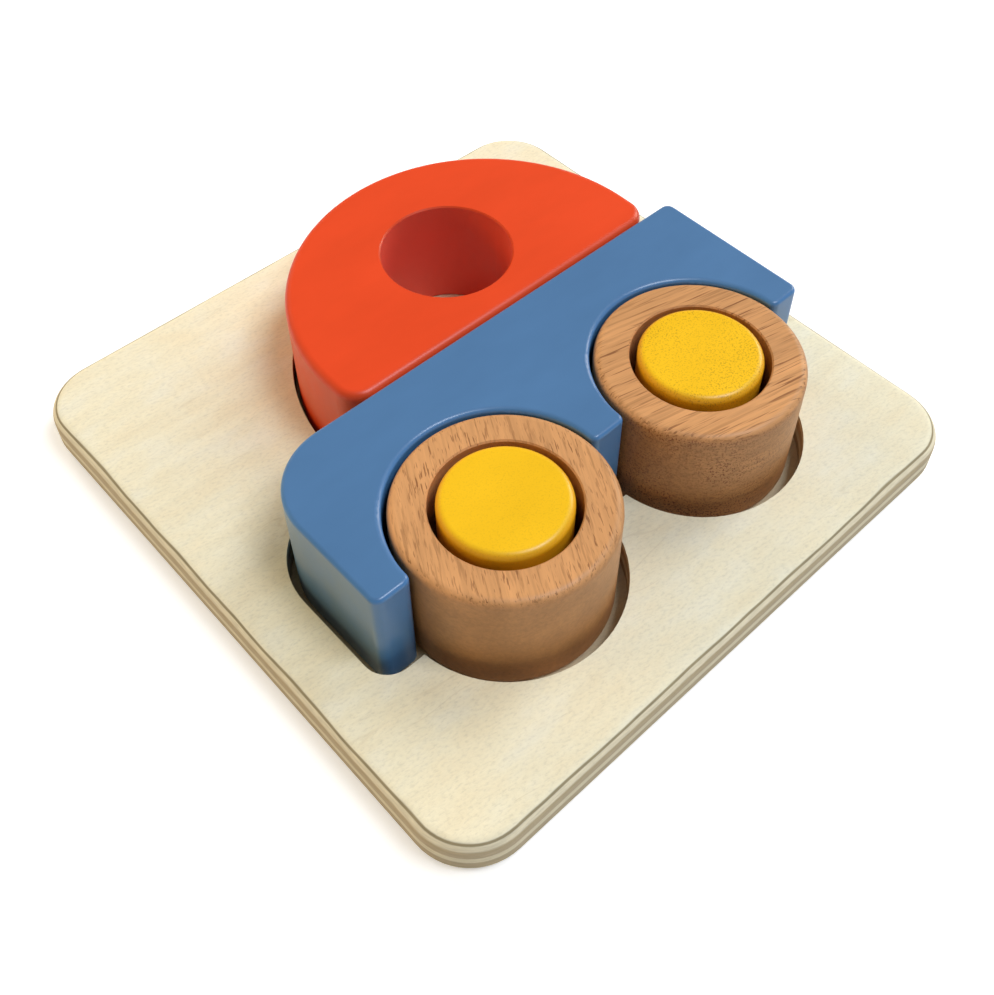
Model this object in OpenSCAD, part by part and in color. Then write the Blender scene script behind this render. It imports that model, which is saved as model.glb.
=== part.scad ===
// Toddler's inset puzzle: a small car of chunky blocks lying in a square board.
// X runs along the car, +Y points from its wheels to its roof, and +Z is up.
// The origin is the middle of the board's underside.

/* [Board] */
// Width of the board's rim beside the two ends of the cut-out
rim_wide = 14.8; // [12:0.1:30]
// Radius of the board's corners, seen from above
board_corner = 16; // [8:0.5:20]
// Thickness of the upper sheet, which is as deep as the cut-out
frame_thick = 9; // [6:0.5:14]
// Thickness of the lower sheet, which is the floor of the cut-out
base_thick = 3; // [3:0.5:6]
// Rounding of the board's outer edges, top and bottom
board_round = 3; // [1:0.5:3]
// Radius of the cut-out's two corners in front of the car body
cutout_corner = 7; // [5:0.5:8]
// Distance from the board's middle to the body's middle
body_shift = 1.1; // [0:0.1:2]
// Distance from the board's middle to the middle between wheels and roof top
car_shift = 1.55; // [0:0.05:3]

/* [Blocks] */
// Height of the blocks
block_tall = 35; // [25:0.5:45]
// Free play round each block in the cut-out
play = 2.3; // [2.3:0.1:3]
// How far the blocks lie towards the roof's side of the cut-out
lie_y = 1.8; // [0:0.1:1.8]
// How far the blocks lie towards the car's square end
lie_x = 0.8; // [0:0.1:0.8]

/* [Car body] */
// Width of the foot at the car's rounded end
left_foot = 9.8; // [7:0.1:14]
// Width of the foot between the two wheels
middle_foot = 11.5; // [8:0.1:16]
// Width of the foot at the car's square end
right_foot = 9.3; // [7:0.1:14]
// Width of the body above its wheel arches
body_bridge = 17.2; // [12:0.1:24]
// Radius of the large corner at the car's rounded end
body_big_corner = 20; // [10:0.5:22]
// Radius of the body's three other corners
body_corner = 2.6; // [2.2:0.1:4]
// Free play between a wheel and its arch
arch_play = 1.3; // [1.2:0.1:2]
// How much further apart the arches are than the wheels
arch_spread = 1.4; // [0:0.1:1.6]
// Radius of the feet's corners beside the arches
foot_corner = 2; // [2:0.1:3]
// Rounding of the body's edges
body_round = 1.2; // [0.5:0.1:1.8]

/* [Roof] */
// Radius of the round roof block
roof_radius = 54.5; // [48:0.5:58]
// Length of the roof's two straight ends, below its arc
roof_end = 10.9; // [8:0.1:16]
// Radius of the roof's two corners
roof_corner = 7; // [4:0.5:7.5]
// Rounding of the roof's edges
roof_round = 2.2; // [1:0.1:3]
// Gap between the roof block and the body block
roof_gap = 0.4; // [0.3:0.1:1]
// Distance from the middle of the body to the middle of the roof
roof_shift = 11.6; // [0:0.1:13]
// Distance from the middle of the roof to the middle of its window
window_shift = 0.4; // [0:0.1:3]
// Distance from the roof's straight side to the window's middle
window_rise = 27.4; // [24:0.1:32]

/* [Wheels and pegs] */
// Diameter of the wheels' bores and of the roof's window
bore_d = 36.5; // [36.5:0.5:42]
// Wall of a wheel, from its bore to its outside
wheel_wall = 9.25; // [7:0.25:12]
// Distance from the body's front side to the line of the wheels
wheel_inset = 1.2; // [0.4:0.1:2.5]
// Rounding of the wheels' outer edges
wheel_round = 2.2; // [1:0.1:4]
// Free play round a peg in its bore
peg_play = 2; // [0.5:0.1:2]
// Height that a peg stands proud of its wheel
peg_proud = 1.6; // [0:0.1:4]
// Rounding of the pegs' ends
peg_round = 2; // [1:0.1:5]
// Bevel that breaks the rim of each bore
rim_break = 0.4; // [0.2:0.1:1]

/* [Hidden] */
$fn = 96;

// Overrun of every cut past the face that it opens
over = 1;

floor_z = base_thick;
bore_r = bore_d / 2;
wheel_r = bore_r + wheel_wall;
peg_r = bore_r - peg_play;
arch_r = wheel_r + arch_play;

// The body is as long as its three feet and two arches, and the car as tall as its blocks in a row
body_long = left_foot + middle_foot + right_foot + 4 * arch_r;
body_wide = foot_corner + arch_r + body_bridge;
roof_rise = roof_end + roof_radius;
car_tall = wheel_r - wheel_inset + body_wide + roof_gap + roof_rise;
board_half = max(body_long, car_tall) / 2 + play + rim_wide;

// Plan of the car with every block in the middle of its place in the cut-out
body_left = body_shift - body_long / 2;
body_right = body_left + body_long;
body_low = car_shift - car_tall / 2 + wheel_r - wheel_inset;
body_high = body_low + body_wide;
arch_x = [for (nth = [0, 1]) body_left + left_foot + arch_r + nth * (2 * arch_r + middle_foot)];
arch_y = body_low + foot_corner;
wheel_x = [arch_x[0] + arch_spread / 2, arch_x[1] - arch_spread / 2];
wheel_y = body_low + wheel_inset;
roof_x = body_shift + roof_shift;
roof_low = body_high + roof_gap;
roof_y = roof_low + roof_end;

// Moves a block from its place in the plan to where it lies
module as_it_lies() {
  translate([lie_x, lie_y, floor_z]) children();
}

// Half of an upright section, from an axis outwards, with its outer corners rounded
module half_section(reach, tall, low_round, high_round) {
  intersection() {
    square([reach, tall]);
    union() {
      if (tall > low_round + high_round)
        translate([0, low_round]) square([reach, tall - low_round - high_round]);
      if (low_round > 0) square([reach - low_round, tall]);
      if (low_round > 0) translate([reach - low_round, low_round]) circle(low_round);
      if (high_round > 0) square([reach - high_round, tall]);
      if (high_round > 0) translate([reach - high_round, tall - high_round]) circle(high_round);
    }
  }
}

// Turned post of the section above
module post(radius, tall, low_round, high_round) {
  rotate_extrude() half_section(radius, tall, low_round, high_round);
}

// Quarter of such a post, from +X to +Y
module quarter_post(radius, tall, low_round, high_round) {
  rotate_extrude(angle = 90) half_section(radius, tall, low_round, high_round);
}

// Long bar along X whose two sides, at y = 0 and y = wide, have the rounded section
module long_bar(x0, x1, wide, tall, low_round, high_round) {
  translate([x0, wide / 2, 0]) rotate([90, 0, 90]) linear_extrude(x1 - x0) {
    half_section(wide / 2, tall, low_round, high_round);
    mirror([1, 0]) half_section(wide / 2, tall, low_round, high_round);
  }
}

// Corners of a rectangle, anticlockwise from its low one: place, way inwards, radius and turn
function corners(x0, x1, y0, y1, radii) = [
  [x0, y0, 1, 1, radii[0], 180],
  [x1, y0, -1, 1, radii[1], 270],
  [x1, y1, -1, -1, radii[2], 0],
  [x0, y1, 1, -1, radii[3], 90],
];

// Centre of a corner's radius
function corner_centre(c) = [c[0] + c[2] * c[4], c[1] + c[3] * c[4], 0];

// Square corner that is taken away before its round post is added
module corner_waste(c, tall) {
  translate([c[0] + c[2] * (c[4] - over) / 2, c[1] + c[3] * (c[4] - over) / 2, tall / 2])
    cube([c[4] + over, c[4] + over, tall + 2 * over], center = true);
}

// Plate with rounded edges and square corners
module edged_plate(x0, x1, y0, y1, tall, low_round, high_round) {
  intersection() {
    translate([0, y0, 0]) long_bar(x0 - over, x1 + over, y1 - y0, tall, low_round, high_round);
    translate([x1, 0, 0]) rotate([0, 0, 90])
      long_bar(y0 - over, y1 + over, x1 - x0, tall, low_round, high_round);
  }
}

// Such a plate with four upright corner radii
module rounded_plate(x0, x1, y0, y1, tall, low_round, high_round, radii) {
  difference() {
    edged_plate(x0, x1, y0, y1, tall, low_round, high_round);
    for (c = corners(x0, x1, y0, y1, radii)) corner_waste(c, tall);
  }
  for (c = corners(x0, x1, y0, y1, radii)) translate(corner_centre(c)) rotate([0, 0, c[5]])
    quarter_post(c[4], tall, low_round, high_round);
}

// Bore through a block, with its two rims broken
module bore() {
  rotate_extrude() polygon([
    [0, -over],
    [bore_r + rim_break, -over],
    [bore_r + rim_break, 0],
    [bore_r, rim_break],
    [bore_r, block_tall - rim_break],
    [bore_r + rim_break, block_tall],
    [bore_r + rim_break, block_tall + over],
    [0, block_tall + over],
  ]);
}

// Opening of the whole car in the upper sheet
module cutout() {
  left = body_left - play;
  right = body_right + play;
  low = body_low - play;
  high = body_high + play;
  deep = frame_thick + 2 * over;
  radii = [cutout_corner, cutout_corner, body_corner + play, body_big_corner + play];
  difference() {
    translate([left, low, 0]) cube([right - left, high - low, deep]);
    for (c = corners(left, right, low, high, radii)) corner_waste(c, deep);
  }
  for (c = corners(left, right, low, high, radii)) translate(corner_centre(c)) cylinder(deep, r = c[4]);
  for (x = wheel_x) translate([x, wheel_y, 0]) cylinder(deep, r = wheel_r + play);
  translate([roof_x, roof_y, 0]) cylinder(deep, r = roof_radius + play);
  translate([roof_x - roof_radius - play, body_low, 0])
    cube([2 * (roof_radius + play), roof_y - body_low, deep]);
}

module board_sheet(tall, low_round, high_round) {
  rounded_plate(-board_half, board_half, -board_half, board_half, tall, low_round, high_round,
                [board_corner, board_corner, board_corner, board_corner]);
}

module tray_base() {
  color("wheat") board_sheet(base_thick, board_round, 0);
}

module tray_frame() {
  color("cornsilk") translate([0, 0, floor_z]) difference() {
    board_sheet(frame_thick, 0, board_round);
    translate([0, 0, -over]) cutout();
  }
}

// Turned tool that cuts a wheel arch and leaves its edges rounded
module arch_cut() {
  rotate_extrude() difference() {
    translate([0, -over]) square([arch_r + body_round, block_tall + 2 * over]);
    translate([arch_r, body_round]) square([2 * body_round, block_tall - 2 * body_round]);
    for (z = [body_round, block_tall - body_round])
      translate([arch_r + body_round, z]) circle(body_round);
  }
}

module body_block() {
  foot_x = arch_r + foot_corner;
  color("steelblue") as_it_lies() {
    difference() {
      rounded_plate(body_left, body_right, body_low, body_high, block_tall, body_round, body_round,
                    [body_corner, body_corner, body_corner, body_big_corner]);
      for (x = arch_x) translate([x, arch_y, 0]) {
        arch_cut();
        translate([-foot_x, -foot_corner - over, -over])
          cube([2 * foot_x, foot_corner + over, block_tall + 2 * over]);
      }
    }
    for (x = arch_x, side = [-1, 1]) translate([x + side * foot_x, arch_y, 0])
      rotate([0, 0, side < 0 ? 270 : 180])
        quarter_post(foot_corner, block_tall, body_round, body_round);
  }
}

// Outside of the roof block: two corners, two straight ends and a half circle over them
module roof_form() {
  square_corner = roof_corner * [1, 1, 1, 1];
  low_corners = [for (nth = [0, 1]) corners(-roof_radius, roof_radius, 0, roof_rise, square_corner)[nth]];
  difference() {
    edged_plate(-roof_radius, roof_radius, 0, roof_rise, block_tall, roof_round, roof_round);
    for (c = low_corners) corner_waste(c, block_tall);
    translate([-roof_radius - over, roof_end, -over])
      cube([2 * (roof_radius + over), roof_radius + over, block_tall + 2 * over]);
  }
  for (c = low_corners) translate(corner_centre(c)) rotate([0, 0, c[5]])
    quarter_post(c[4], block_tall, roof_round, roof_round);
  translate([0, roof_end, 0]) rotate_extrude(angle = 180)
    half_section(roof_radius, block_tall, roof_round, roof_round);
}

module roof_block() {
  color("orangered") as_it_lies() translate([roof_x, roof_low, 0]) difference() {
    roof_form();
    translate([window_shift, window_rise, 0]) bore();
  }
}

module wheel(x) {
  color("burlywood") as_it_lies() translate([x, wheel_y, 0]) difference() {
    post(wheel_r, block_tall, wheel_round, wheel_round);
    bore();
  }
}

module peg(x) {
  color("gold") as_it_lies() translate([x, wheel_y, 0])
    post(peg_r, block_tall + peg_proud, peg_round, peg_round);
}

tray_base();
tray_frame();
body_block();
roof_block();
wheel(wheel_x[0]);  // wheel_left
wheel(wheel_x[1]);  // wheel_right
peg(wheel_x[0]);  // peg_left
peg(wheel_x[1]);  // peg_right
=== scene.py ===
import math

import bpy
from mathutils import Matrix, Vector


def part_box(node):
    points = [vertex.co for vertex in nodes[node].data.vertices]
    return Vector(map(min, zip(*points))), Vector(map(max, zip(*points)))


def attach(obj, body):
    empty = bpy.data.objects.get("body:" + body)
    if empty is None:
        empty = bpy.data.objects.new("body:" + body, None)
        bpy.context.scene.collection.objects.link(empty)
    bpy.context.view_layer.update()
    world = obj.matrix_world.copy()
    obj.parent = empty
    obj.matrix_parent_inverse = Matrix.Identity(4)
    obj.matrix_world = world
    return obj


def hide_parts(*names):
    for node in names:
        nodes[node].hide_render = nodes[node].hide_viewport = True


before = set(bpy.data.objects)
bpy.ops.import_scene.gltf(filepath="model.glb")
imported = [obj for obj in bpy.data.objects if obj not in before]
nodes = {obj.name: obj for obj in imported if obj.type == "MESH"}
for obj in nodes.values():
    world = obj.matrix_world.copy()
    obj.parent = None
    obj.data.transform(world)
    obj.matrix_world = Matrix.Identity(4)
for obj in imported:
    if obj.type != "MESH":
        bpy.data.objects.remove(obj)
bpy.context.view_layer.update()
MM = 0.001
board_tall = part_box("tray_frame")[1].z

# Camera at the photograph's angle, from the corner of the board between -X and -Y
IMAGE_WIDE = 994
IMAGE_TALL = 995
SENSOR_WIDE = 36.0
CLIP_NEAR = 0.01
CLIP_FAR = 10.0
focal_px = 1234.0
centre_px = (530.0, 380.0)
camera_place = Vector((-145.4, -162.7, 268.4)) * MM
camera_yaw = math.radians(45.67)
camera_pitch = math.radians(48.25)
camera_roll = math.radians(1.30)


def make_camera():
    ahead = Vector((
        math.cos(camera_yaw) * math.cos(camera_pitch),
        math.sin(camera_yaw) * math.cos(camera_pitch),
        -math.sin(camera_pitch),
    ))
    level = Vector((math.sin(camera_yaw), -math.cos(camera_yaw), 0.0))
    upright = level.cross(ahead)
    right = level * math.cos(camera_roll) + upright * math.sin(camera_roll)
    up = upright * math.cos(camera_roll) - level * math.sin(camera_roll)
    turn = Matrix((right, up, -ahead)).transposed()
    data = bpy.data.cameras.new("photo_camera")
    data.sensor_fit = "HORIZONTAL"
    data.sensor_width = SENSOR_WIDE
    data.lens = focal_px * SENSOR_WIDE / IMAGE_WIDE
    data.shift_x = (IMAGE_WIDE / 2 - centre_px[0]) / IMAGE_WIDE
    data.shift_y = (centre_px[1] - IMAGE_TALL / 2) / IMAGE_WIDE
    data.clip_start = CLIP_NEAR
    data.clip_end = CLIP_FAR
    camera = bpy.data.objects.new("photo_camera", data)
    camera.matrix_world = Matrix.Translation(camera_place) @ turn.to_4x4()
    bpy.context.scene.collection.objects.link(camera)
    bpy.context.scene.camera = camera


def linear(red, green, blue):
    """Scene colour of a screen colour with channels from 0 to 255."""
    channels = []
    for value in (red, green, blue):
        share = value / 255
        channels.append(share / 12.92 if share <= 0.04045 else ((share + 0.055) / 1.055) ** 2.4)
    return (*channels, 1.0)


def scaled(colour, share):
    """A colour made lighter or darker, at most full light."""
    return tuple(min(1.0, channel * share) for channel in colour[:3]) + (1.0,)


# Paints, as the photograph shows them on the tops of the blocks
blue = linear(78, 121, 166)
red = linear(233, 73, 28)
yellow = linear(250, 197, 22)
amber_speck = linear(150, 92, 10)
# painted sheen: the window's wall is paler and pinker than the red paint
painted_window_sheen = linear(230, 92, 72)
# painted reflection of the pale board, laid on the body's end that looks towards -X
painted_end_reflection = linear(138, 144, 108)

# Ring wood
ring_brown = linear(210, 153, 99)
pore_brown = linear(108, 58, 26)
dot_brown = linear(118, 44, 20)

# Plywood
veneer_warm = linear(243, 231, 196)
veneer_mid = linear(244, 235, 203)
veneer_pale = linear(244, 238, 212)
veneer_edge = linear(243, 234, 204)
crack_tone = linear(196, 178, 140)
ply_light = linear(240, 228, 196)
ply_dark = linear(203, 184, 148)
glue_line = linear(160, 146, 112)

# Painted shading that a colour is multiplied by on upright faces of paint, painted shade on the
# rings' sides (the ring tint also darkens the grain's streaks) and on the floor of the cut-out
blue_painted_side_shading = (0.96, 1.14, 1.20, 1.0)
red_painted_side_shading = (0.90, 0.95, 0.95, 1.0)
yellow_painted_side_shading = (0.90, 0.76, 1.10, 1.0)
grain_and_painted_side_shade = (0.76, 0.74, 0.72, 1.0)
painted_seat_shade = (0.80, 0.72, 0.63, 1.0)

# Depth of each material's grain
board_relief = 0.25 * MM
paint_relief = 0.2 * MM
ring_relief = 0.3 * MM

# How far the plies wander up and down along the board's edge
ply_wave = 0.6 * MM

# Distance over which the dots on a ring's side fade out, away from the board's near corner
dots_fade = 60.0 * MM


class Tree:
    """Small helper that builds one material's nodes."""

    def __init__(self, name):
        self.material = bpy.data.materials.new(name)
        self.material.use_nodes = True
        self.nodes = self.material.node_tree.nodes
        self.links = self.material.node_tree.links
        self.shader = self.nodes["Principled BSDF"]
        self.place = self.nodes.new("ShaderNodeTexCoord")

    def feed(self, value, socket):
        """Sets a number or colour on a socket, or links another node's output to it."""
        if isinstance(value, (float, tuple)):
            socket.default_value = value
        else:
            self.links.new(value, socket)

    def split(self, source):
        node = self.nodes.new("ShaderNodeSeparateXYZ")
        self.feed(self.place.outputs[source], node.inputs["Vector"])
        return node.outputs

    def point(self):
        """X, Y and Z of the point at rest, in the row frame, in metres."""
        return self.split("Object")

    def normal(self):
        """X, Y and Z of the way the surface faces."""
        return self.split("Normal")

    def noise(self, cells, shift, turn=0.0, detail=2.0, rough=0.5):
        """Noise with so many cells per metre along X, Y and Z, of a point turned about Z."""
        spin = self.nodes.new("ShaderNodeVectorRotate")
        spin.rotation_type = "Z_AXIS"
        spin.inputs["Angle"].default_value = turn
        self.feed(self.place.outputs["Object"], spin.inputs["Vector"])
        stretch = self.nodes.new("ShaderNodeMapping")
        stretch.inputs["Scale"].default_value = cells
        stretch.inputs["Location"].default_value = shift
        self.feed(spin.outputs["Vector"], stretch.inputs["Vector"])
        node = self.nodes.new("ShaderNodeTexNoise")
        node.inputs["Scale"].default_value = 1.0
        node.inputs["Detail"].default_value = detail
        node.inputs["Roughness"].default_value = rough
        self.feed(stretch.outputs["Vector"], node.inputs["Vector"])
        return node.outputs["Fac"]

    def ramp(self, source, stops):
        """Value or colour along a source; stops are (place, colour or grey)."""
        node = self.nodes.new("ShaderNodeValToRGB")
        elements = node.color_ramp.elements
        while len(elements) < len(stops):
            elements.new(1.0)
        for element, (spot, colour) in zip(elements, stops):
            element.position = spot
            element.color = colour if isinstance(colour, tuple) else (colour, colour, colour, 1.0)
        self.feed(source, node.inputs["Fac"])
        return node.outputs["Color"]

    def blend(self, share, first, second, mode="MIX"):
        node = self.nodes.new("ShaderNodeMix")
        node.data_type = "RGBA"
        node.blend_type = mode
        for name, value in (("Factor", share), ("A", first), ("B", second)):
            socket = [s for s in node.inputs if s.name == name and s.enabled][0]
            self.feed(value, socket)
        return [s for s in node.outputs if s.enabled][0]

    def times(self, first, second):
        """Product of two colours."""
        return self.blend(1.0, first, second, "MULTIPLY")

    def math(self, kind, *values):
        node = self.nodes.new("ShaderNodeMath")
        node.operation = kind
        for socket, value in zip(node.inputs, values):
            self.feed(value, socket)
        return node.outputs["Value"]

    def bump(self, height, strength, distance):
        node = self.nodes.new("ShaderNodeBump")
        node.inputs["Strength"].default_value = strength
        node.inputs["Distance"].default_value = distance
        self.feed(height, node.inputs["Height"])
        self.feed(node.outputs["Normal"], self.shader.inputs["Normal"])

    def finish(self, colour, rough, specular=0.5, coat=0.0):
        self.feed(colour, self.shader.inputs["Base Color"])
        self.feed(rough, self.shader.inputs["Roughness"])
        self.feed(specular, self.shader.inputs["Specular IOR Level"])
        self.feed(coat, self.shader.inputs["Coat Weight"])
        self.shader.inputs["Coat Roughness"].default_value = 0.18
        return self.material


def veneer_face(tree, seed):
    """Colour and height of the veneer: fine flecks, soft mottling and a few hair cracks."""
    flecks = tree.noise((700.0, 1500.0, 1500.0), (seed, seed, 0.0), turn=0.2, rough=0.65)
    streaks = tree.noise((14.0, 330.0, 330.0), (0.0, seed, 0.0))
    cloud = tree.noise((45.0, 80.0, 80.0), (0.0, seed, seed), detail=3.0, rough=0.6)
    face = tree.ramp(cloud, [(0.32, veneer_warm), (0.5, veneer_mid), (0.68, veneer_pale)])
    face = tree.times(face, tree.ramp(flecks, [(0.30, 0.90), (0.48, 1.0), (0.70, 1.04)]))
    face = tree.times(face, tree.ramp(streaks, [(0.35, 0.975), (0.65, 1.015)]))
    wander = tree.noise((16.0, 75.0, 75.0), (seed, 0.0, seed), turn=0.1)
    from_line = tree.math("ABSOLUTE", tree.math("SUBTRACT", wander, 0.5))
    patches = tree.noise((60.0, 60.0, 60.0), (0.0, seed, 5.0), detail=1.0)
    cracks = tree.math(
        "MULTIPLY",
        tree.ramp(from_line, [(0.0, 1.0), (0.008, 0.0)]),
        tree.ramp(patches, [(0.60, 0.0), (0.66, 1.0)]),
    )
    face = tree.blend(tree.math("MULTIPLY", cracks, 0.22), face, crack_tone)
    return face, tree.math("SUBTRACT", flecks, tree.math("MULTIPLY", cracks, 0.3))


def ply_edge(tree, seed):
    """Colour of the sawn plies, and the height above the underside in shares of the board."""
    wave = tree.noise((40.0, 40.0, 1.0), (0.0, seed, 0.0), detail=1.0)
    rise = tree.math("MULTIPLY", tree.math("SUBTRACT", wave, 0.5), ply_wave)
    band = tree.math("MULTIPLY", tree.math("ADD", tree.point()[2], rise), 1 / board_tall)
    plies = tree.ramp(band, [
        (0.00, ply_dark), (0.10, ply_dark), (0.13, ply_light), (0.235, ply_light),
        (0.25, glue_line), (0.265, ply_dark), (0.43, ply_dark), (0.47, ply_light),
        (0.61, ply_light), (0.65, ply_dark), (0.84, ply_dark), (0.87, ply_light),
        (0.938, ply_light), (0.948, glue_line), (0.966, glue_line), (0.976, veneer_edge),
    ])
    fibre = tree.noise((200.0, 200.0, 3000.0), (seed, 0.0, 0.0), rough=0.6)
    return tree.times(plies, tree.ramp(fibre, [(0.3, 0.84), (0.7, 1.05)])), band


def board_wood(name, seed, seat_painted_shade=None):
    """Pale plywood: veneer on the flat faces, plies on the edges, painted shade on what looks up."""
    tree = Tree(name)
    face, height = veneer_face(tree, seed)
    plies, band = ply_edge(tree, seed)
    upright = tree.normal()[2]
    in_veneer = tree.ramp(band, [(0.974, 0.0), (0.984, 1.0)])
    colour = tree.blend(in_veneer, plies, face)
    flat = tree.ramp(tree.math("ABSOLUTE", upright), [(0.96, 0.0), (0.99, 1.0)])
    colour = tree.blend(flat, colour, face)
    if seat_painted_shade is not None:
        # painted shade: faces that look up, the floor of the cut-out, are darkened and browned
        upward = tree.ramp(upright, [(0.96, 0.0), (0.99, 1.0)])
        colour = tree.blend(upward, colour, tree.times(face, seat_painted_shade))
    tree.bump(height, 0.3, board_relief)
    return tree.finish(colour, 0.6, specular=0.3)


def speck_share(tree, seed, strength):
    """Where fine specks cover a paint; they lie thicker in some patches."""
    dots = tree.noise((2100.0, 2100.0, 2100.0), (seed, seed, 0.0), turn=0.3, detail=1.5, rough=0.6)
    patches = tree.noise((70.0, 70.0, 70.0), (0.0, seed, 0.0))
    share = tree.math(
        "MULTIPLY",
        tree.ramp(dots, [(0.54, 0.0), (0.64, 1.0)]),
        tree.ramp(patches, [(0.30, 0.45), (0.60, 1.0)]),
    )
    return tree.math("MULTIPLY", share, strength)


def bore_share(tree, normal, middle, reach):
    """1 on upright walls inside a circle in plan, else 0; middle and reach are in mm."""
    point = tree.point()
    across = tree.math("SUBTRACT", point[0], middle[0] * MM)
    along = tree.math("SUBTRACT", point[1], middle[1] * MM)
    square = tree.math("ADD", tree.math("MULTIPLY", across, across), tree.math("MULTIPLY", along, along))
    inside = tree.math("LESS_THAN", square, (reach * MM) ** 2)
    wall = tree.math("LESS_THAN", tree.math("ABSOLUTE", normal[2]), 0.4)
    return tree.math("MULTIPLY", inside, wall)


def end_reflection_share(tree, normal, seed):
    """Uneven share of painted reflection on the end that looks towards -X."""
    facing = tree.ramp(tree.math("MULTIPLY", normal[0], -1.0), [(0.82, 0.0), (0.99, 1.0)])
    mottle = tree.noise((60.0, 90.0, 90.0), (seed, 0.0, 0.0), detail=3.0, rough=0.6)
    return tree.math("MULTIPLY", facing, tree.ramp(mottle, [(0.35, 0.26), (0.65, 0.40)]))


def paint(name, colour, side, seed, rough, coat=0.0, specks=0.0, bore=None, end_reflection_tone=None):
    """Satin paint that lets a little of the wood's grain show.

    side is painted shading multiplied in on what leans or stands upright, bore is (middle, reach,
    painted sheen colour) of a hole's wall, and the end tone is a painted reflection that partly
    covers the end that looks towards -X.
    """
    tree = Tree(name)
    normal = tree.normal()
    cloud = tree.noise((25.0, 60.0, 60.0), (seed, 0.0, seed), detail=3.0, rough=0.6)
    tone = tree.ramp(cloud, [(0.3, scaled(colour, 0.95)), (0.7, scaled(colour, 1.05))])
    if specks > 0.0:
        tone = tree.blend(speck_share(tree, seed, specks), tone, amber_speck)
    # painted side shading: the side tint is multiplied in on faces that lean or stand upright
    leaning = tree.ramp(tree.math("ABSOLUTE", normal[2]), [(0.70, 1.0), (0.985, 0.0)])
    tone = tree.blend(leaning, tone, tree.times(tone, side))
    if bore is not None:
        # painted sheen on the window's wall
        middle, reach, wall_sheen_tone = bore
        tone = tree.blend(bore_share(tree, normal, middle, reach), tone, wall_sheen_tone)
    # painted reflection on the end that looks towards -X
    if end_reflection_tone is not None:
        tone = tree.blend(end_reflection_share(tree, normal, seed), tone, end_reflection_tone)
    grain = tree.noise((120.0, 700.0, 700.0), (seed, seed, 0.0), detail=3.0, rough=0.6)
    tree.bump(grain, 0.04, paint_relief)
    gloss = tree.ramp(cloud, [(0.3, rough - 0.02), (0.7, rough + 0.06)])
    return tree.finish(tone, gloss, coat=coat)


def dot_share(tree, node, seed, side, strength):
    """Fine dots on a ring's side, thickest towards the board's near corner."""
    low_corner, high_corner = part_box(node)
    middle = (low_corner + high_corner) / 2
    dots = tree.noise((2000.0, 2000.0, 1700.0), (seed, 0.0, seed), turn=0.4, detail=1.5, rough=0.6)
    patches = tree.noise((45.0, 45.0, 70.0), (seed, 0.0, 0.0), detail=1.0)
    point = tree.point()
    outward = tree.math(
        "ADD",
        tree.math("MULTIPLY", tree.math("ADD", point[0], point[1]), -1 / dots_fade),
        (middle.x + middle.y) / dots_fade,
    )
    thick = tree.math(
        "MULTIPLY",
        tree.ramp(patches, [(0.30, 0.3), (0.55, 1.0)]),
        tree.ramp(outward, [(0.30, 0.15), (0.62, 1.0)]),
    )
    share = tree.math("MULTIPLY", tree.ramp(dots, [(0.52, 0.0), (0.64, 1.0)]), thick)
    return tree.math("MULTIPLY", tree.math("MULTIPLY", share, side), strength)


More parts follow.
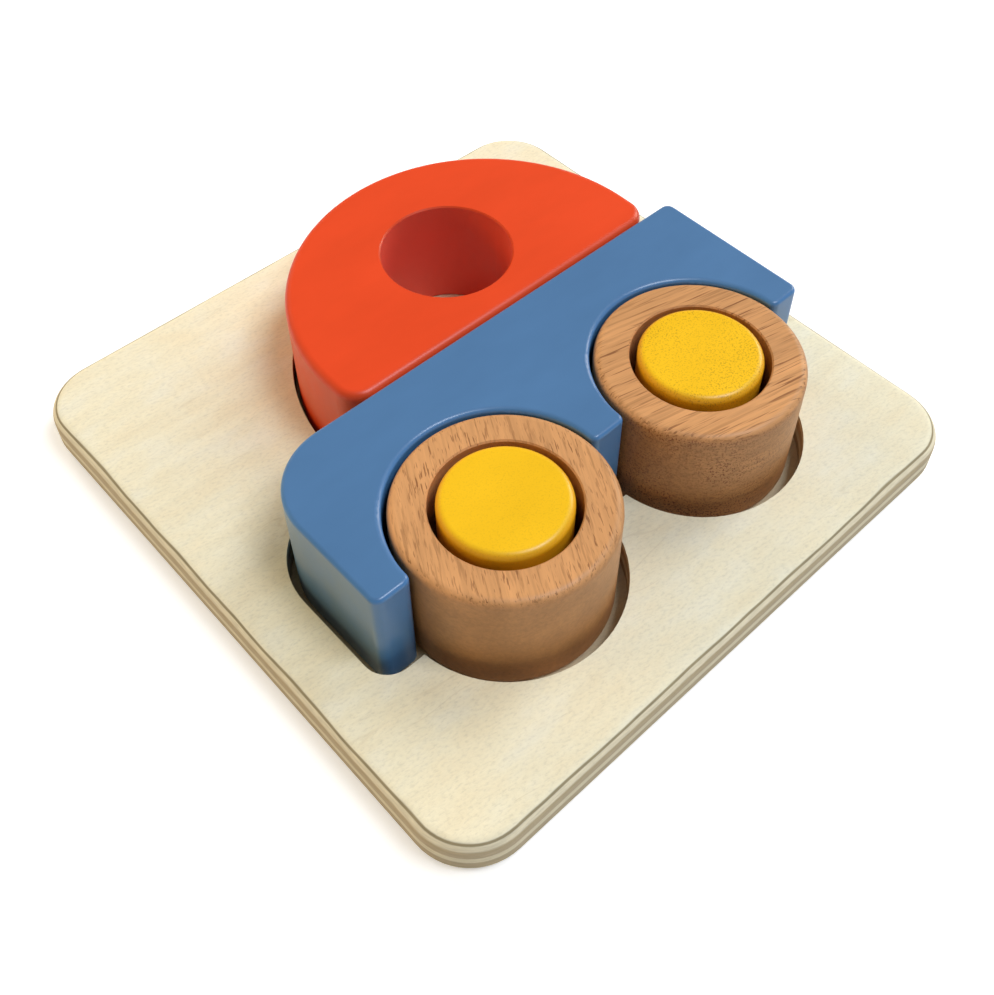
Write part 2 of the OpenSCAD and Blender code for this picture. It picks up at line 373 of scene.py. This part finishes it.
def ring_wood(name, node, seed, turn, pore_cells, pore_strength, side_pores, drift, fibre_low,
              side_dots=0.0):
    """Oiled hardwood: mid brown, with short dark pores that run with the grain.

    pore_cells are the cells per metre along and across the grain, side_pores is the pores' share
    on the side, and drift, as (slope per metre, start), darkens the ring towards +X.
    """
    tree = Tree(name)
    pores_along, pores_across = pore_cells
    pores = tree.noise((pores_along, pores_across, pores_across), (seed, seed, 0.0), turn, detail=1.5)
    lines_along = pores_along * 0.35
    lines_across = pores_across * 0.45
    lines = tree.noise((lines_along, lines_across, lines_across), (0.0, seed, seed), turn, rough=0.55)
    fibre = tree.noise((60.0, 1100.0, 1100.0), (seed, 0.0, seed), turn, rough=0.6)
    cloud = tree.noise((22.0, 100.0, 100.0), (seed, 0.0, 0.0), turn, detail=3.0, rough=0.55)
    clusters = tree.noise((60.0, 90.0, 90.0), (0.0, seed, 0.0), turn)
    side = tree.ramp(tree.math("ABSOLUTE", tree.normal()[2]), [(0.3, 1.0), (0.8, 0.0)])

    tone = tree.ramp(cloud, [(0.3, scaled(ring_brown, 0.88)), (0.7, scaled(ring_brown, 1.10))])
    slope, start = drift
    drifted = tree.math("ADD", tree.math("MULTIPLY", tree.point()[0], slope), start)
    tone = tree.times(tone, tree.ramp(drifted, [(0.0, 1.10), (1.0, 0.93)]))
    tone = tree.times(tone, tree.ramp(fibre, [(0.3, fibre_low), (0.5, 1.0), (0.7, 1.08)]))

    streaks = tree.math(
        "MULTIPLY",
        tree.ramp(lines, [(0.56, 0.0), (0.66, 1.0)]),
        tree.ramp(side, [(0.0, 1.0), (1.0, max(0.15, side_pores))]),
    )
    tone = tree.blend(streaks, tone, tree.times(tone, grain_and_painted_side_shade))
    mask = tree.math(
        "MULTIPLY",
        tree.ramp(pores, [(0.60, 0.0), (0.66, 1.0)]),
        tree.ramp(clusters, [(0.35, 0.35), (0.6, 1.0)]),
    )
    mask = tree.math("MULTIPLY", mask, tree.ramp(side, [(0.0, 1.0), (1.0, side_pores)]))
    tone = tree.blend(tree.math("MULTIPLY", mask, pore_strength), tone, pore_brown)
    if side_dots > 0.0:
        tone = tree.blend(dot_share(tree, node, seed, side, side_dots), tone, dot_brown)
    # painted shade: the ring's side faces are darkened by the same tint
    tone = tree.blend(side, tone, tree.times(tone, grain_and_painted_side_shade))
    tree.bump(tree.math("SUBTRACT", fibre, tree.math("MULTIPLY", mask, 0.8)), 0.12, ring_relief)
    return tree.finish(tone, 0.46, specular=0.4)


# Places of the arches' walls as they lie at rest, and as the photograph shows them round the rings
arch_middles = ((-32.4, -38.4), (36.7, -38.4))
arch_radius = 28.8
snug_middles = ((-32.15, -39.2), (35.65, -39.55))
snug_radii = (28.3, 28.5)
arch_reach = 8.0

# Roof block at rest, and how much narrower and lower the photograph shows it
roof_low_corner, roof_high_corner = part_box("roof_block")
roof_middle_x = (roof_low_corner.x + roof_high_corner.x) / 2 / MM
roof_low = roof_low_corner.y / MM
roof_move = 0.68
roof_wide_share = 0.9844
roof_tall_share = 0.987

# Window at rest, how far round it the block moves with it, and its place in the photograph
window_middle = (13.9, 35.4)
window_reach = 21.0
window_move = (0.43, -0.47)
window_shown = (window_middle[0] + window_move[0], window_middle[1] + window_move[1])
window_wall_reach = 19.0

# Pocket of the roof block, and how far the photograph shows its left end moved in
pocket_middle = (12.7, 17.1)
pocket_reach = 58.5
pocket_ends = (-44.1, 69.5)
pocket_low = 8.1
pocket_move = 2.8
pocket_tall_share = 0.9924
tolerance = 0.05


def dress(node, material):
    piece = nodes[node]
    piece.data.materials.clear()
    piece.data.materials.append(material)


def dress_board():
    dress("tray_base", board_wood("board_base_wood", 3.0, seat_painted_shade=painted_seat_shade))
    dress("tray_frame", board_wood("board_frame_wood", 7.0))


def dress_car():
    body = paint("blue_paint", blue, blue_painted_side_shading, seed=1.0, rough=0.31, coat=0.25, end_reflection_tone=painted_end_reflection)
    dress("body_block", body)
    bore = (window_shown, window_wall_reach, painted_window_sheen)
    roof = paint("red_paint", red, red_painted_side_shading, seed=2.0, rough=0.34, bore=bore)
    dress("roof_block", roof)


def dress_rings():
    near = ring_wood(
        "ring_wood_left", "wheel_left", seed=4.0, turn=math.radians(-60), pore_cells=(280.0, 2300.0),
        pore_strength=0.66, side_pores=0.02, drift=(16.0, 1.0), fibre_low=0.90,
    )
    dress("wheel_left", near)
    far = ring_wood(
        "ring_wood_right", "wheel_right", seed=9.0, turn=math.radians(13), pore_cells=(75.0, 1700.0),
        pore_strength=0.72, side_pores=0.4, drift=(8.0, 0.2), fibre_low=0.84, side_dots=0.80,
    )
    dress("wheel_right", far)


def dress_pegs():
    for side, seed, specks in (("left", 5.0, 0.12), ("right", 6.0, 0.44)):
        slot = f"yellow_paint_{side}"
        dress(f"peg_{side}", paint(slot, yellow, yellow_painted_side_shading, seed, rough=0.31, specks=specks))


def moved_copy(node, name, body, shift_of):
    """Takes a CAD piece's place with a copy whose points lie a little aside in plan."""
    mesh = nodes[node].data.copy()
    mesh.name = name
    for vertex in mesh.vertices:
        across, along = shift_of(vertex.co.x / MM, vertex.co.y / MM)
        vertex.co += Vector((across, along, 0.0)) * MM
    piece = bpy.data.objects.new(name, mesh)
    bpy.context.scene.collection.objects.link(piece)
    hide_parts(node)
    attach(piece, body)


def arch_shift(x, y):
    """Draws the two arches close round the rings and fades out beyond their walls."""
    shift = Vector((0.0, 0.0))
    for middle, snug, radius in zip(arch_middles, snug_middles, snug_radii):
        from_middle = Vector((x - middle[0], y - middle[1]))
        away = from_middle.length
        share = 1.0 - max(0.0, away - arch_radius) / arch_reach
        if share <= 0.0:
            continue
        move = Vector(snug) - Vector(middle) + from_middle / away * (radius - arch_radius)
        move.y *= min(1.0, max(0.0, from_middle.y / arch_reach))
        shift += move * share
    return shift


def roof_shift(x, y):
    """Draws the roof's arc in and moves the window as a whole."""
    if math.hypot(x - window_middle[0], y - window_middle[1]) < window_reach:
        return window_move
    across = roof_move + (roof_wide_share - 1.0) * (x - roof_middle_x)
    along = (roof_tall_share - 1.0) * (y - roof_low)
    return across, along


def pocket_shift(x, y):
    """Draws in the arc of the roof's pocket and leaves the rest of the frame as it is."""
    from_middle = math.hypot(x - pocket_middle[0], y - pocket_middle[1])
    if y < pocket_low - tolerance or from_middle > pocket_reach:
        return 0.0, 0.0
    share = (pocket_ends[1] - x) / (pocket_ends[1] - pocket_ends[0])
    return pocket_move * share, (pocket_tall_share - 1.0) * (y - pocket_low)


# White floor: its own glow for the camera grows with the distance, so that the horizon stays white
floor_reach = 12.0
floor_white = (0.82, 0.82, 0.80, 1.0)
glow_distances = (1.0, 3.0)
glow_strengths = (0.45, 0.85)

# Light from all round, and the white that the camera sees behind the toy
white = (1.0, 1.0, 1.0, 1.0)
sky_tone = (1.0, 0.94, 0.84, 1.0)
sky_strength = 0.22


def make_floor():
    mesh = bpy.data.meshes.new("floor")
    corners = [(x * floor_reach, y * floor_reach, 0) for x, y in ((-1, -1), (1, -1), (1, 1), (-1, 1))]
    mesh.from_pydata(corners, [], [(0, 1, 2, 3)])
    floor = bpy.data.objects.new("floor", mesh)
    bpy.context.scene.collection.objects.link(floor)
    material = bpy.data.materials.new("floor_white")
    material.use_nodes = True
    tree_nodes = material.node_tree.nodes
    links = material.node_tree.links
    shader = tree_nodes["Principled BSDF"]
    shader.inputs["Base Color"].default_value = floor_white
    shader.inputs["Roughness"].default_value = 0.9
    shader.inputs["Specular IOR Level"].default_value = 0.1
    path = tree_nodes.new("ShaderNodeLightPath")
    place = tree_nodes.new("ShaderNodeTexCoord")
    away = tree_nodes.new("ShaderNodeVectorMath")
    away.operation = "LENGTH"
    links.new(place.outputs["Object"], away.inputs[0])
    level = tree_nodes.new("ShaderNodeMapRange")
    for socket, value in zip(("From Min", "From Max", "To Min", "To Max"), glow_distances + glow_strengths):
        level.inputs[socket].default_value = value
    links.new(away.outputs["Value"], level.inputs["Value"])
    glow = tree_nodes.new("ShaderNodeMath")
    glow.operation = "MULTIPLY"
    links.new(path.outputs["Is Camera Ray"], glow.inputs[0])
    links.new(level.outputs["Result"], glow.inputs[1])
    shader.inputs["Emission Color"].default_value = white
    links.new(glow.outputs["Value"], shader.inputs["Emission Strength"])
    floor.data.materials.append(material)


def make_world():
    world = bpy.data.worlds.new("studio")
    bpy.context.scene.world = world
    world.use_nodes = True
    tree_nodes = world.node_tree.nodes
    links = world.node_tree.links
    sky = tree_nodes["Background"]
    sky.inputs["Color"].default_value = sky_tone
    sky.inputs["Strength"].default_value = sky_strength
    plain = tree_nodes.new("ShaderNodeBackground")
    plain.inputs["Color"].default_value = white
    plain.inputs["Strength"].default_value = 1.0
    path = tree_nodes.new("ShaderNodeLightPath")
    mix = tree_nodes.new("ShaderNodeMixShader")
    links.new(path.outputs["Is Camera Ray"], mix.inputs["Fac"])
    links.new(sky.outputs["Background"], mix.inputs[1])
    links.new(plain.outputs["Background"], mix.inputs[2])
    links.new(mix.outputs["Shader"], tree_nodes["World Output"].inputs["Surface"])


# Lamps: soft squares at one distance from the toy, the low ones warm and the high ones cool
lamp_away = 2.6
lamp_wide = 1.0
cool_white = (0.92, 1.0, 1.14)
right_warm = (1.0, 0.92, 0.80)
back_warm = (1.0, 0.90, 0.74)
left_warm = (1.0, 0.70, 0.30)


def area_light(name, turn, height, power, colour, glossy=True):
    """Square lamp at an angle from +X and a height angle, both in degrees, aimed at the toy."""
    turn = math.radians(turn)
    height = math.radians(height)
    level = math.cos(height)
    place = Vector((level * math.cos(turn), level * math.sin(turn), math.sin(height))) * lamp_away
    data = bpy.data.lights.new(name, "AREA")
    data.shape = "SQUARE"
    data.size = lamp_wide
    data.energy = power
    data.color = colour
    lamp = bpy.data.objects.new(name, data)
    lamp.location = place
    lamp.rotation_mode = "QUATERNION"
    lamp.rotation_quaternion = (-place).to_track_quat("-Z", "Y")
    lamp.visible_glossy = glossy
    bpy.context.scene.collection.objects.link(lamp)


def make_lamps():
    area_light("right_low", 0.0, 22.0, 18.0, right_warm)
    area_light("right_high", 0.0, 45.0, 18.0, cool_white, glossy=False)
    area_light("back_low", 90.0, 22.0, 20.0, back_warm, glossy=False)
    area_light("left_low", 135.0, 22.0, 20.5, left_warm, glossy=False)
    area_light("front_high", 300.0, 65.0, 31.0, cool_white)


make_camera()
dress_board()
dress_car()
dress_rings()
dress_pegs()
moved_copy("body_block", "arched_body", "body", arch_shift)
moved_copy("roof_block", "round_roof", "roof", roof_shift)
moved_copy("tray_frame", "drawn_in_frame", "board", pocket_shift)
make_floor()
make_world()
make_lamps()
bpy.context.scene.view_settings.view_transform = "Standard"
